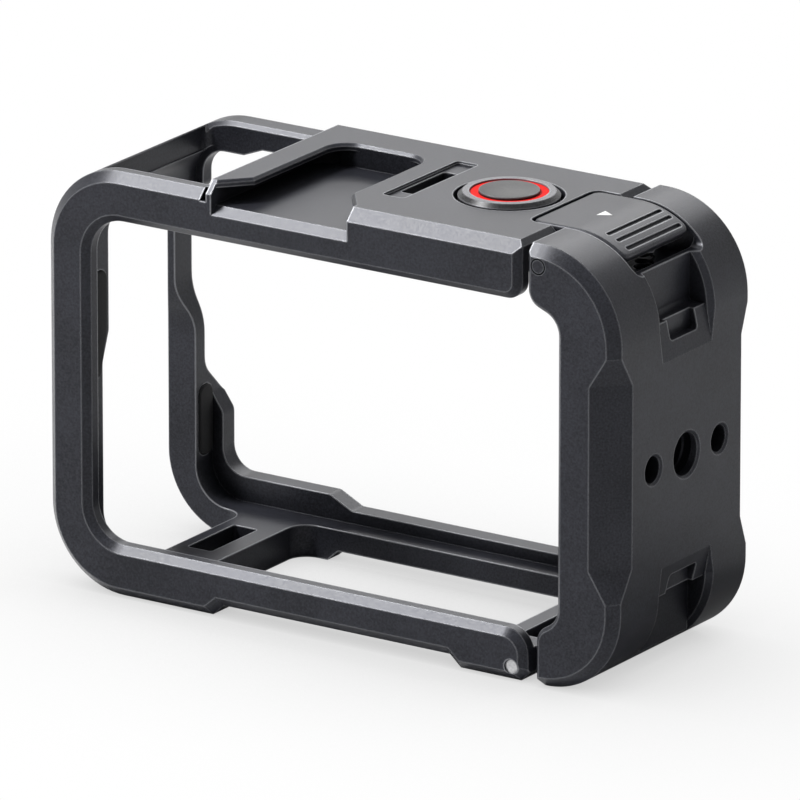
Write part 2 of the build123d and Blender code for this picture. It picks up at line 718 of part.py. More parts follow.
def door_cuts():
    """Latch channel, finger recesses, thread, locating holes and pin bores of the door."""
    side = LATCH_HALF + SIDE_GAP
    channel = along_y(
        outline(
            (PLATE_END, CHANNEL_FLOOR, 0),
            (CHANNEL_END, CHANNEL_FLOOR, 0),
            (CHANNEL_END, HEIGHT + 1, 0),
            (PLATE_END, HEIGHT + 1, 0),
        ),
        -side,
        side,
    )
    mouth = along_x(
        outline(
            (-side, CHANNEL_RIM, 1.2),
            (side, CHANNEL_RIM, 1.2),
            (side, HEIGHT + 1, 0),
            (-side, HEIGHT + 1, 0),
        ),
        CHANNEL_END - 0.5,
        RIGHT + 1,
    )
    seat = rod_z(LATCH_SPRING_X, 0, LATCH_SPRING_MEAN + 0.6, CHANNEL_FLOOR - LATCH_SPRING_SEAT, HEIGHT)
    outside = RIGHT + 1
    upper = along_y(
        outline(
            (outside, CHANNEL_RIM + 1, 0),
            (RECESS_BACK, CHANNEL_RIM + 1, 0),
            (RECESS_BACK, UPPER_LEDGE, 0.6),
            (RIGHT - PANEL_DEEP, UPPER_LEDGE, 0),
            (RIGHT, UPPER_PANEL, 0),
            (outside, UPPER_PANEL - PANEL_DEEP / 4, 0),
        ),
        -RECESS_HALF,
        RECESS_HALF,
    )
    lower = along_y(
        outline(
            (outside, DOOR_BOTTOM - 1, 0),
            (RECESS_BACK, DOOR_BOTTOM - 1, 0),
            (RECESS_BACK, LOWER_LEDGE, 0.6),
            (RIGHT - PANEL_DEEP, LOWER_LEDGE, 0),
            (RIGHT, LOWER_PANEL, 0),
            (outside, LOWER_PANEL + PANEL_DEEP / 4, 0),
        ),
        -RECESS_HALF,
        RECESS_HALF,
    )
    notch_back = RIGHT - PANEL_NOTCH_DEPTH
    notches = [
        along_x(rectangle(-PANEL_NOTCH, PANEL_NOTCH, low, low + 2.85, 0.5), notch_back, outside)
        for low in (UPPER_LEDGE - 2.35, LOWER_LEDGE - 0.5)
    ]
    thread = rod_x(0, THREAD_Z, THREAD_BORE, DOOR_BAY_RIGHT - 1, outside)
    holes = [
        rod_x(side * LOCATING_SPACING / 2, THREAD_Z, LOCATING_HOLE, RIGHT - LOCATING_DEPTH, outside)
        for side in (-1, 1)
    ]
    pin = rod_y(LATCH_PIN_X, LATCH_PIN_Z, LATCH_PIN + 2 * PRESS, FRONT - 1, REAR - 3)
    strip = along_x(door_strip_face(STRIP_GAP), DOOR_BAY_RIGHT - 1, DOOR_BAY_RIGHT + STRIP_POCKET)
    bevels = recess_bevel(RIGHT - DOOR_CORNER, HEIGHT - DOOR_CORNER, 1, UPPER_PANEL)
    bevels += recess_bevel(RIGHT - DOOR_FOOT_CORNER, DOOR_BOTTOM + DOOR_FOOT_CORNER, -1, LOWER_PANEL)
    return [channel, mouth, seat, upper, lower, thread, pin, strip] + notches + holes + bevels


def recess_bevel(centre_x, centre_z, way, fade):
    """Bevels on the side edges of a finger recess: round the door's corner, then fading out along it."""
    cuts = []
    for side in (-1, 1):

        def wedge(z, size):
            face = outline(
                (side * RECESS_HALF, RIGHT - size, 0),
                (side * (RECESS_HALF + size + 0.3), RIGHT + 0.3, 0),
                (side * RECESS_HALF, RIGHT + 0.3, 0),
            )
            return Plane(origin=(0, 0, z), x_dir=(0, 1, 0), z_dir=(0, 0, -1)) * face

        turn = Axis((centre_x, 0, centre_z), (0, -way, 0))
        cuts.append(revolve(wedge(centre_z, RECESS_BEVEL), turn, revolution_arc=55))
        cuts.append(loft([wedge(centre_z, RECESS_BEVEL), wedge(fade, 0.02)], ruled=True))
    return cuts


def side_door():
    body = door_blank()
    for cut in door_cuts():
        body = body - cut
    rims = [
        edge
        for edge in flat_edges(body, "X", RIGHT)
        if edge.geom_type == GeomType.CIRCLE and abs(edge.arc_center.Z - THREAD_Z) < 0.01
    ]
    body = chamfer(rims, 0.3)
    end = REAR_RAIL_INNER - SIDE_GAP
    knuckle = rod_y(HINGE_X, HINGE_Z, 2 * KNUCKLE, -end, end)
    web = along_y(rectangle(HINGE_X, DOOR_FOOT_LEFT + 2, HINGE_Z - KNUCKLE, KNUCKLE_TOP), -end, end)
    bore = rod_y(HINGE_X, HINGE_Z, HINGE_PIN + 2 * RUNNING, -end - 1, end + 1)
    return body + knuckle + web - bore


def latch_tab():
    """Rocker that follows the door's rounded corner, with finger grooves, barrel and spring stub."""
    centre_x = RIGHT - DOOR_CORNER
    centre_z = HEIGHT - DOOR_CORNER

    def on_arc(radius, degrees):
        return (centre_x + radius * sin(radians(degrees)), centre_z + radius * cos(radians(degrees)))

    inner = DOOR_CORNER - LATCH_THICK
    under = HEIGHT - LATCH_THICK
    toe = NOTCH_FLOOR + LATCH_TOE_GAP
    tip = on_arc(DOOR_CORNER, LATCH_SWEEP)
    under_tip = on_arc(inner, LATCH_SWEEP)
    edges = [
        Line((LATCH_LEFT, HEIGHT), (centre_x, HEIGHT)),
        ThreePointArc((centre_x, HEIGHT), on_arc(DOOR_CORNER, LATCH_SWEEP / 2), tip),
        Line(tip, under_tip),
        ThreePointArc(under_tip, on_arc(inner, LATCH_SWEEP / 2), (centre_x, under)),
        Line((centre_x, under), (LATCH_LEFT + LATCH_TOE + 0.5, under)),
        Line((LATCH_LEFT + LATCH_TOE + 0.5, under), (LATCH_LEFT + LATCH_TOE, toe)),
        Line((LATCH_LEFT + LATCH_TOE, toe), (LATCH_LEFT, toe)),
        Line((LATCH_LEFT, toe), (LATCH_LEFT, HEIGHT)),
    ]
    body = along_y(make_face(edges), -LATCH_HALF, LATCH_HALF)
    ends = [edge for edge in flat_edges(body, "X", LATCH_LEFT) if abs(edge.center().Y) > LATCH_HALF - 0.01]
    body = fillet(ends, 1.2)
    tips = [
        edge
        for edge in body.edges()
        if abs(edge.center().Y) > LATCH_HALF - 0.01
        and hypot(edge.center().X - tip[0], edge.center().Z - tip[1]) < 1
        and edge.length < LATCH_THICK + 0.01
    ]
    body = fillet(tips, 1.0)

    def on_top(point):
        if point.X < centre_x:
            return abs(point.Z - HEIGHT) < 0.001
        return abs(hypot(point.X - centre_x, point.Z - centre_z) - DOOR_CORNER) < 0.001

    rim = [edge for edge in body.edges() if all(on_top(edge @ share) for share in (0, 0.3, 0.7, 1))]
    rim = [edge for edge in rim if abs(edge.center().X - centre_x) > 0.01]
    body = fillet(rim, LATCH_ROUND)
    body = body + rod_y(LATCH_PIN_X, LATCH_PIN_Z, 2 * LATCH_BARREL, -LATCH_HALF, LATCH_HALF)
    stub = LATCH_SPRING_MEAN + 0.2
    body = body + rod_z(LATCH_SPRING_X, 0, stub, LATCH_STUB_BOTTOM, centre_z + inner - 0.6)
    body = body - rod_y(LATCH_PIN_X, LATCH_PIN_Z, LATCH_PIN + 2 * RUNNING, -LATCH_HALF - 1, LATCH_HALF + 1)
    for groove in range(GRIP_GROOVES):
        across = GRIP_LAST - groove * GRIP_PITCH - centre_x
        up = centre_z + (DOOR_CORNER ** 2 - across ** 2) ** 0.5 - GRIP_DEPTH + GRIP_WIDTH / 2
        body = body - rod_y(centre_x + across, up, GRIP_WIDTH, GRIP_FRONT, GRIP_REAR)
        for end in (GRIP_FRONT, GRIP_REAR):
            body = body - Pos(centre_x + across, end, up) * Sphere(GRIP_WIDTH / 2)
    return body


def button_bezel():
    """Conical rim of the button, cupped above for the ring and cap and grooved below for the spring."""
    top = HEIGHT + BEZEL_RISE
    spring_half = BUTTON_SPRING_MEAN / 2
    groove_half = BUTTON_SPRING_WIRE / 2 + 0.16
    profile = make_face(
        Polyline(
            (STEM / 2 + PRESS, BEZEL_UNDERSIDE),
            (spring_half - groove_half, BEZEL_UNDERSIDE),
            (spring_half - groove_half, BEZEL_UNDERSIDE + BUTTON_SPRING_GROOVE),
            (spring_half + groove_half, BEZEL_UNDERSIDE + BUTTON_SPRING_GROOVE),
            (spring_half + groove_half, BEZEL_UNDERSIDE),
            (BEZEL_BASE / 2, BEZEL_UNDERSIDE),
            (BEZEL_BASE / 2, HEIGHT),
            (BEZEL_RIM / 2, top),
            (RING_OUTER / 2 + PRESS, top),
            (RING_OUTER / 2 + PRESS, BEZEL_CUP_FLOOR),
            (STEM / 2 + PRESS, BEZEL_CUP_FLOOR),
            close=True,
        )
    )
    return Pos(BUTTON_X, BUTTON_Y) * revolve(Plane.XZ * profile, Axis.Z)


def button_ring():
    ring = rod_z(BUTTON_X, BUTTON_Y, RING_OUTER, BEZEL_CUP_FLOOR, RING_TOP)
    return ring - rod_z(BUTTON_X, BUTTON_Y, RING_INNER, BEZEL_CUP_FLOOR - 1, RING_TOP + 1)


def button_cap():
    """Slightly domed cap inside the ring."""
    half = RING_INNER / 2 - PRESS
    edge = HEIGHT + CAP_RISE
    dome = ThreePointArc((0, edge + CAP_DOME), (half * 0.5, edge + CAP_DOME * 0.75), (half, edge))
    sides = Polyline((half, edge), (half, BEZEL_CUP_FLOOR), (0, BEZEL_CUP_FLOOR), (0, edge + CAP_DOME))
    cap = revolve(Plane.XZ * make_face([dome, *sides.edges()]), Axis.Z)
    cap = fillet(flat_edges(cap, "Z", edge), CAP_ROUND)
    return Pos(BUTTON_X, BUTTON_Y) * cap


def button_stem():
    bottom = BUSH_BOTTOM - CLIP_THICK - 0.35
    stem = rod_z(BUTTON_X, BUTTON_Y, STEM, bottom, BEZEL_CUP_FLOOR)
    neck = rod_z(BUTTON_X, BUTTON_Y, STEM, BUSH_BOTTOM - CLIP_THICK - 0.05, BUSH_BOTTOM - 0.05)
    return stem - (neck - rod_z(BUTTON_X, BUTTON_Y, STEM - 0.6, bottom, BEZEL_CUP_FLOOR))


def button_bush():
    bush = rod_z(BUTTON_X, BUTTON_Y, BUSH_OUTER, BUSH_BOTTOM, BUTTON_FLOOR)
    bush = bush + rod_z(BUTTON_X, BUTTON_Y, BUSH_FLANGE, BUTTON_FLOOR, BUSH_FLANGE_TOP)
    return bush - rod_z(BUTTON_X, BUTTON_Y, STEM + 2 * RUNNING, BUSH_BOTTOM - 1, BUSH_FLANGE_TOP + 1)


def button_clip():
    """Open retaining clip in the stem's neck."""
    low = BUSH_BOTTOM - CLIP_THICK - 0.05
    clip = rod_z(BUTTON_X, BUTTON_Y, CLIP_OUTER, low, low + CLIP_THICK)
    clip = clip - rod_z(BUTTON_X, BUTTON_Y, STEM - 0.6 + 2 * PRESS, low - 1, low + 1)
    mouth = rectangle(BUTTON_X, BUTTON_X + CLIP_OUTER, BUTTON_Y - 0.7, BUTTON_Y + 0.7)
    return clip - along_z(mouth, low - 1, low + 1)


def button_tip():
    """Rubber end of the stem, rounded below."""
    top = BUSH_BOTTOM - CLIP_THICK - 0.35
    bottom = BAY_CEILING - TIP_DROP
    tip = rod_z(BUTTON_X, BUTTON_Y, STEM - 0.3, bottom, top)
    return fillet(flat_edges(tip, "Z", bottom), 0.25)


def strip(face, x_from, x_to, shown):
    """Rubber strip with a rounded edge on the side that shows."""
    body = along_x(face, x_from, x_to)
    return fillet(flat_edges(body, "X", shown), 0.2)


def washer(y_from, y_to):
    ring = rod_y(HINGE_X, HINGE_Z, WASHER_OUTER, y_from, y_to)
    return ring - rod_y(HINGE_X, HINGE_Z, HINGE_PIN + 2 * RUNNING, y_from - 1, y_to + 1)


FRONT_WASHER = FRONT_RAIL_INNER + (SIDE_GAP - WASHER_THICK) / 2
REAR_WASHER = REAR_RAIL_INNER - (SIDE_GAP - WASHER_THICK) / 2
STRIP_BACK = BAY_LEFT - STRIP_POCKET
STRIP_FACE = STRIP_BACK + STRIP_THICK
NODES = {
    "main_frame": main_frame(),
    "side_door": side_door(),
    "hinge_pin": rod_y(HINGE_X, HINGE_Z, HINGE_PIN, FRONT + HINGE_RECESS_DEPTH, HINGE_PIN_END),
    "front_hinge_washer": washer(FRONT_WASHER, FRONT_WASHER + WASHER_THICK),
    "rear_hinge_washer": washer(REAR_WASHER - WASHER_THICK, REAR_WASHER),
    "latch_tab": latch_tab(),
    "latch_pin": rod_y(LATCH_PIN_X, LATCH_PIN_Z, LATCH_PIN, FRONT, REAR - 3),
    "latch_spring": coil(
        LATCH_SPRING_X,
        0,
        CHANNEL_FLOOR - LATCH_SPRING_SEAT + 0.02,
        LATCH_STUB_BOTTOM - 0.02,
        LATCH_SPRING_MEAN,
        LATCH_SPRING_WIRE,
        LATCH_SPRING_TURNS,
    ),
    "button_bush": button_bush(),
    "button_bezel": button_bezel(),
    "button_ring": button_ring(),
    "button_cap": button_cap(),
    "button_stem": button_stem(),
    "button_clip": button_clip(),
    "button_tip": button_tip(),
    "button_spring": coil(
        BUTTON_X,
        BUTTON_Y,
        BUTTON_FLOOR + 0.02,
        BEZEL_UNDERSIDE + BUTTON_SPRING_GROOVE - 0.02,
        BUTTON_SPRING_MEAN,
        BUTTON_SPRING_WIRE,
        BUTTON_SPRING_TURNS,
    ),
    "front_rubber_strip": strip(front_strip_face(0), STRIP_BACK, STRIP_FACE, STRIP_FACE),
    "rear_rubber_strip": strip(rear_strip_face(0), STRIP_BACK, STRIP_FACE, STRIP_FACE),
    "door_rubber_strip": strip(
        door_strip_face(0),
        DOOR_BAY_RIGHT + STRIP_POCKET - STRIP_THICK,
        DOOR_BAY_RIGHT + STRIP_POCKET,
        DOOR_BAY_RIGHT + STRIP_POCKET - STRIP_THICK,
    ),
}
for name, shape in NODES.items():
    export_step(shape, f"parts/{name}.step")
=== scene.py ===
"""Looks of an action camera cage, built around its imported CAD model.

The machined pieces keep the CAD's shapes and get their finishes here. The springs, the rubber
strips, the button's rubber tip, the thread's ridges and the printed arrow are surfaces made here.
"""

import json
from math import cos, pi, radians, sin

import bmesh
import bpy
import numpy as np
from bpy.props import FloatProperty, FloatVectorProperty, PointerProperty
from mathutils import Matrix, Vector


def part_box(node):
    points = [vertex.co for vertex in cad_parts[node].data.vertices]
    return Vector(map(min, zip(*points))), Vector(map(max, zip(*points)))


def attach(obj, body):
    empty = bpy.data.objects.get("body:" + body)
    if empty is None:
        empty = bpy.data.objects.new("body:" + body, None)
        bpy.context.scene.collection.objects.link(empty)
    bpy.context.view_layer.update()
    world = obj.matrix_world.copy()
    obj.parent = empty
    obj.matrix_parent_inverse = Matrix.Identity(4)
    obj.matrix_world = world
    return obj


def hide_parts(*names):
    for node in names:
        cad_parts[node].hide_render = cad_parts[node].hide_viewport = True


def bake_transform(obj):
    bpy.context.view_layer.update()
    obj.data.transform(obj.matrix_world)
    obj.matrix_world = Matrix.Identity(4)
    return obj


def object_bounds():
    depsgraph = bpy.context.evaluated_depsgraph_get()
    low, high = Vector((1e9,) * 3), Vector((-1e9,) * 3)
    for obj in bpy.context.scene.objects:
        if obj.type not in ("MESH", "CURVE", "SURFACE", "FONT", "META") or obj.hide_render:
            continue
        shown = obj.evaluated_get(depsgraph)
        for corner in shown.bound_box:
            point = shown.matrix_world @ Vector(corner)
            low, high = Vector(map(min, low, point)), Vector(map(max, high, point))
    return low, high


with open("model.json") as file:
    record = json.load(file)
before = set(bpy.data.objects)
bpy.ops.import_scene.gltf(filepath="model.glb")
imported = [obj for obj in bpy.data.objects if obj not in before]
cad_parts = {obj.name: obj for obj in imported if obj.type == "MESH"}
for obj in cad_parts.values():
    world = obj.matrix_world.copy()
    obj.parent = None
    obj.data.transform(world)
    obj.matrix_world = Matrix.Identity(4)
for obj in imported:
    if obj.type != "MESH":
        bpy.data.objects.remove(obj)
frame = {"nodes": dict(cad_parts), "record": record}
CAD_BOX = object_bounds()
NODES = frame["nodes"]

bl_info = {
    "name": "Action camera cage",
    "version": (1, 0, 0),
    "blender": (4, 5, 0),
    "location": "View3D > Sidebar > Cage",
    "description": "Finishes, small pieces and stage of an action camera cage",
    "category": "Object",
}

MM = 0.001

# Half width of the dark seam round a flush pin, and of the line between two turned faces
SEAM = 0.05 * MM

# Values of a noise that count as its lowest and highest: for gloss, for fine tones, for slow tones
GLOSS_SPAN = (0.3, 0.7)
GRAIN_SPAN = (0.36, 0.64)
CLOUD_SPAN = (0.35, 0.65)

# Open share of a point's surroundings inside the solid: at a sharp edge, and on a flat face
EDGE_OPEN = 0.70
FACE_OPEN = 0.97

# Open share outside the solid at which the painted shade of corners and holes is darkest,
# and from which they get none
CORNER_SHADE_SPAN = (0.25, 0.7)
HOLE_SHADE_SPAN = (0.2, 0.55)

# Pitches of the turning marks
CAP_MARKS = 0.11 * MM
FINE_MARKS = 0.09 * MM

# Width of the bezel's dark flank outside its face with the painted highlight
BEZEL_FLANK = 0.55 * MM

# Turns of the two springs
LATCH_TURNS = 3.0
BUTTON_TURNS = 2.5

# Middle of the printed arrow's base in (x, y), rounding of its corners, and inset of its rim
ARROW_BASE = (27.4 * MM, -0.2 * MM)
ARROW_ROUND = 0.06 * MM
ARROW_RIM = 0.01 * MM

# Rounding of a strip's ends, as a share of its width: where it stands, and where it lies
STANDING_ENDS = 0.42
LYING_ENDS = 0.45

# The front strip follows its upright's step: how far it steps back, where the step ends, how far
# its spine leans, and the roundings of the step's two corners and of the strip's ends
STEP_BACK = 1.4 * MM
STEP_RISE = 5.8 * MM
STEP_LEAN = 0.55 * MM
STEP_ROUNDS = (0.8 * MM, 0.5 * MM)
STEPPED_ENDS = 1.2 * MM

# How far a strip's spine stays from its ends, besides half of their rounding
SPINE_INSET = 0.7 * MM

# Name, place, size and power of each lamp, and the point that they face
LAMPS = (
    ("key lamp", (-0.527, -0.307, 0.793), (0.27, 0.27), 12.3),
    ("back lamp", (-0.24, 0.79, 0.58), (0.7, 0.3), 2.9),
)
LAMP_AIM = (0.0, 0.0, 26 * MM)

# The floor lies a hair below the feet, so that no two faces share a level
FLOOR_RADIUS = 1.2
FLOOR_THICK = 2 * MM
FLOOR_DROP = 0.02 * MM

# How far the floor looks for what covers its sky, and how dark a wholly covered spot is
SHADOW_REACH = 60 * MM
SHADOW_DEPTH = 0.45

# Distances over which the floor turns white in reflections, and its white share up to the first
MIRRORED_SPAN = (0.06, 0.4)
MIRRORED_WHITE = 0.1


# Settings


class CageFinishes(bpy.types.PropertyGroup):
    """Colours and surface sizes of the cage's materials."""

    aluminium: FloatVectorProperty(
        name="Aluminium",
        description="Dark grey of the anodised frame, door and latch",
        subtype="COLOR",
        default=(0.0240, 0.0250, 0.0315),
    )
    # Paler grey of the sharp edges: partly wear of the anodising, partly a painted highlight
    aluminium_edge_wear_and_highlight: FloatVectorProperty(
        name="Aluminium edges",
        description="Paler grey where the anodising thins out along sharp edges",
        subtype="COLOR",
        default=(0.30, 0.305, 0.325),
    )
    grain: FloatProperty(
        name="Grain",
        description="Size of the bead-blasted grain",
        unit="LENGTH",
        default=0.24 * MM,
    )
    cloud: FloatProperty(
        name="Clouding",
        description="Size of the slow changes in the anodised colour",
        unit="LENGTH",
        default=9 * MM,
    )
    edge_width: FloatProperty(
        name="Edge width",
        description="Reach of the broken sharp edges",
        unit="LENGTH",
        default=0.2 * MM,
    )
    # Reach of the painted shade that darkens holes and corners
    painted_shade_reach: FloatProperty(
        name="Hollow reach",
        description="Width of the holes and corners that look darker",
        unit="LENGTH",
        default=6.0 * MM,
    )
    bezel: FloatVectorProperty(
        name="Bezel",
        description="Grey of the turned bezel",
        subtype="COLOR",
        default=(0.024, 0.024, 0.026),
    )
    cap: FloatVectorProperty(
        name="Cap",
        description="Grey of the button's cap",
        subtype="COLOR",
        default=(0.016, 0.016, 0.017),
    )
    ring: FloatVectorProperty(
        name="Ring",
        description="Red of the button's ring",
        subtype="COLOR",
        default=(0.92, 0.022, 0.018),
    )
    steel: FloatVectorProperty(
        name="Steel",
        description="Colour of the ground hinge pin and the button's stem",
        subtype="COLOR",
        default=(0.56, 0.56, 0.57),
    )
    wire: FloatVectorProperty(
        name="Wire",
        description="Colour of the button's spring and clip",
        subtype="COLOR",
        default=(0.46, 0.45, 0.44),
    )
    # Painted shade: the latch spring is near-black so that it reads as the shade in its recess
    shade_black_wire: FloatVectorProperty(
        name="Black wire",
        description="Colour of the blackened latch spring",
        subtype="COLOR",
        default=(0.004, 0.004, 0.0045),
    )
    rubber: FloatVectorProperty(
        name="Rubber",
        description="Black of the strips and the button's tip",
        subtype="COLOR",
        default=(0.010, 0.010, 0.011),
    )
    nylon: FloatVectorProperty(
        name="Washers",
        description="Off-white of the moulded hinge washers",
        subtype="COLOR",
        default=(0.60, 0.58, 0.53),
    )
    bush: FloatVectorProperty(
        name="Bush",
        description="Black of the button's moulded bush",
        subtype="COLOR",
        default=(0.022, 0.022, 0.024),
    )
    ink: FloatVectorProperty(
        name="Print",
        description="White of the printed arrow",
        subtype="COLOR",
        default=(0.82, 0.82, 0.81),
    )


class CagePieces(bpy.types.PropertyGroup):
    """Sizes of the pieces that are made here."""

    strip_round: FloatProperty(
        name="Strip rounding",
        description="Radius along the rim of a rubber strip",
        unit="LENGTH",
        default=0.26 * MM,
    )
    strip_crown: FloatProperty(
        name="Strip crown",
        description="Rise of a strip's face from its rim to its middle",
        unit="LENGTH",
        default=0.03 * MM,
    )
    tip_round: FloatProperty(
        name="Tip rounding",
        description="Radius of the button tip's lower rim",
        unit="LENGTH",
        default=0.22 * MM,
    )
    thread_pitch: FloatProperty(
        name="Thread pitch",
        description="Advance of the thread in one turn",
        unit="LENGTH",
        default=1.27 * MM,
    )
    thread_height: FloatProperty(
        name="Thread height",
        description="How far the ridges stand in from the bore",
        unit="LENGTH",
        default=0.2 * MM,
    )
    latch_wire: FloatProperty(
        name="Latch wire",
        description="Thickness of the latch spring's wire",
        unit="LENGTH",
        default=0.3 * MM,
    )
    button_wire: FloatProperty(
        name="Button wire",
        description="Thickness of the button spring's wire",
        unit="LENGTH",
        default=0.28 * MM,
    )
    arrow_length: FloatProperty(
        name="Arrow length",
        description="Length of the printed arrow",
        unit="LENGTH",
        default=1.6 * MM,
    )
    arrow_width: FloatProperty(
        name="Arrow width",
        description="Width of the printed arrow's base",
        unit="LENGTH",
        default=1.9 * MM,
    )
    print_thickness: FloatProperty(
        name="Print thickness",
        description="Thickness of the ink",
        unit="LENGTH",
        default=0.012 * MM,
    )


class CageStage(bpy.types.PropertyGroup):
    """Camera, even light and floor."""

    azimuth: FloatProperty(
        name="Azimuth",
        description="Direction of the camera, from the front towards the door",
        subtype="ANGLE",
        default=radians(33.559),
    )
    elevation: FloatProperty(
        name="Elevation",
        description="Height of the camera above the horizon",
        subtype="ANGLE",
        default=radians(17.869),
    )
    distance: FloatProperty(
        name="Distance",
        description="From the camera to the point that it looks at",
        unit="LENGTH",
        default=1.6605,
    )
    target: FloatVectorProperty(
        name="Target",
        description="Point that the camera looks at",
        subtype="TRANSLATION",
        unit="LENGTH",
        default=(-4.69 * MM, 7.10 * MM, 22.40 * MM),
    )
    lens: FloatProperty(
        name="Lens",
        description="Focal length on a 36 mm sensor",
        default=648.2,
    )
    ambient: FloatProperty(
        name="Ambient",
        description="Strength of the even light from all sides",
        default=0.10,
    )
    floor: FloatVectorProperty(
        name="Floor",
        description="Colour of the floor",
        subtype="COLOR",
        default=(0.82, 0.82, 0.82),
    )


# Shader maths


class Signal:
    """One shader socket. Arithmetic with it adds Math nodes, also with a number on the left."""

    def __init__(self, maker, socket):
        self.maker = maker
        self.socket = socket

    def maths(self, operation, first, second=0.0):
        return self.maker.node("ShaderNodeMath", {"operation": operation}, {0: first, 1: second})

    def __add__(self, other):
        return self.maths("ADD", self, other)

    def __radd__(self, other):
        return self.maths("ADD", other, self)

    def __sub__(self, other):
        return self.maths("SUBTRACT", self, other)

    def __rsub__(self, other):
        return self.maths("SUBTRACT", other, self)

    def __mul__(self, other):
        return self.maths("MULTIPLY", self, other)

    def __rmul__(self, other):
        return self.maths("MULTIPLY", other, self)

    def __pow__(self, other):
        return self.maths("POWER", self, other)

    def sine(self):
        return self.maths("SINE", self)

    def larger(self, other):
        return self.maths("MAXIMUM", self, other)


class NodeMaker:
    """Adds nodes to the tree of one material or world."""

    def __init__(self, tree):
        self.tree = tree

    def node(self, kind, settings=None, inputs=None, output=0):
        made = self.tree.nodes.new(kind)
        for name, value in (settings or {}).items():
            setattr(made, name, value)
        for name, value in (inputs or {}).items():
            self.feed(made.inputs[name], value)
        return Signal(self, made.outputs[output])

    def feed(self, socket, value):
        if isinstance(value, Signal):
            self.tree.links.new(value.socket, socket)
        else:
            socket.default_value = value

    def place(self):
        """Object coordinates."""
        return self.node("ShaderNodeTexCoord", output="Object")

    def axes(self, vector):
        """The three numbers of a vector."""
        made = self.node("ShaderNodeSeparateXYZ", {}, {0: vector})
        outputs = made.socket.node.outputs
        return tuple(Signal(self, outputs[i]) for i in range(3))

    def noise(self, vector, size, detail=2.0, roughness=0.55):
        """Soft random pattern with features of a given size."""
        inputs = {"Vector": vector, "Scale": 1 / size, "Detail": detail, "Roughness": roughness}
        return self.node("ShaderNodeTexNoise", {}, inputs)

    def spread(self, value, low, high, to_low, to_high):
        """A value's range carried to another range, held at its ends."""
        inputs = {0: value, 1: low, 2: high, 3: to_low, 4: to_high}
        return self.node("ShaderNodeMapRange", {"clamp": True}, inputs)

    def blend(self, share, first, second):
        """Two colours mixed by a share."""
        settings = {"data_type": "RGBA", "clamp_factor": True}
        return self.node("ShaderNodeMix", settings, {0: share, 6: first, 7: second}, output=2)

    def stretched(self, vector, factors):
        """Coordinates scaled along each axis."""
        return self.node("ShaderNodeMapping", {}, {"Vector": vector, "Scale": factors})


class Finish(NodeMaker):
    """One material: its Principled shader, with the sockets that stay constant set at once."""

    def __init__(self, name, **constants):
        self.material = bpy.data.materials.new(name)
        self.material.use_nodes = True
        super().__init__(self.material.node_tree)
        self.shader = next(n for n in self.tree.nodes if n.type == "BSDF_PRINCIPLED")
        for socket, value in constants.items():
            self.shader.inputs[socket.replace("_", " ")].default_value = value

    def surface(self, **signals):
        """Feeds the shader's sockets that change over the surface."""
        for socket, value in signals.items():
            self.feed(self.shader.inputs[socket.replace("_", " ")], value)

    def edges(self, width):
        """One on the sharp outward edges of the piece, fading to zero within a width."""
        settings = {"samples": 4, "inside": True, "only_local": True}
        open_share = self.cover(settings, width)
        return self.spread(open_share, EDGE_OPEN, FACE_OPEN, 1.0, 0.0)

    def openness(self, reach):
        """One on open faces, falling to zero in the piece's own holes narrower than a reach."""
        return self.cover({"samples": 4, "only_local": True}, reach)

    def cover(self, settings, reach):
        """Share of the directions round a point in which nothing lies within a reach."""
        return self.node("ShaderNodeAmbientOcclusion", settings, {"Distance": reach}, output="AO")

    def marks(self, centre, pitch):
        """Rings of a pitch round an upright axis, and the distance from the axis."""
        x, y, _ = self.axes(self.place())
        radius = ((x - centre.x) ** 2 + (y - centre.y) ** 2) ** 0.5
        return (radius * (2 * pi / pitch)).sine(), radius

    def rounded(self, radius):
        """Normal of the surface with its sharp edges broken to a radius."""
        return self.node("ShaderNodeBevel", {"samples": 4}, {"Radius": radius})

    def bump(self, height, distance, strength, normal=None):
        """Normal of the surface raised by a height."""
        inputs = {"Height": height, "Distance": distance, "Strength": strength}
        if normal is not None:
            inputs["Normal"] = normal
        return self.node("ShaderNodeBump", {}, inputs)


def colour(values):
    """A colour with its alpha."""
    return (*values, 1.0)


def shade(values, factor):
    """A colour made darker or lighter by a factor."""
    return (*(min(1.0, v * factor) for v in values), 1.0)


# Finishes


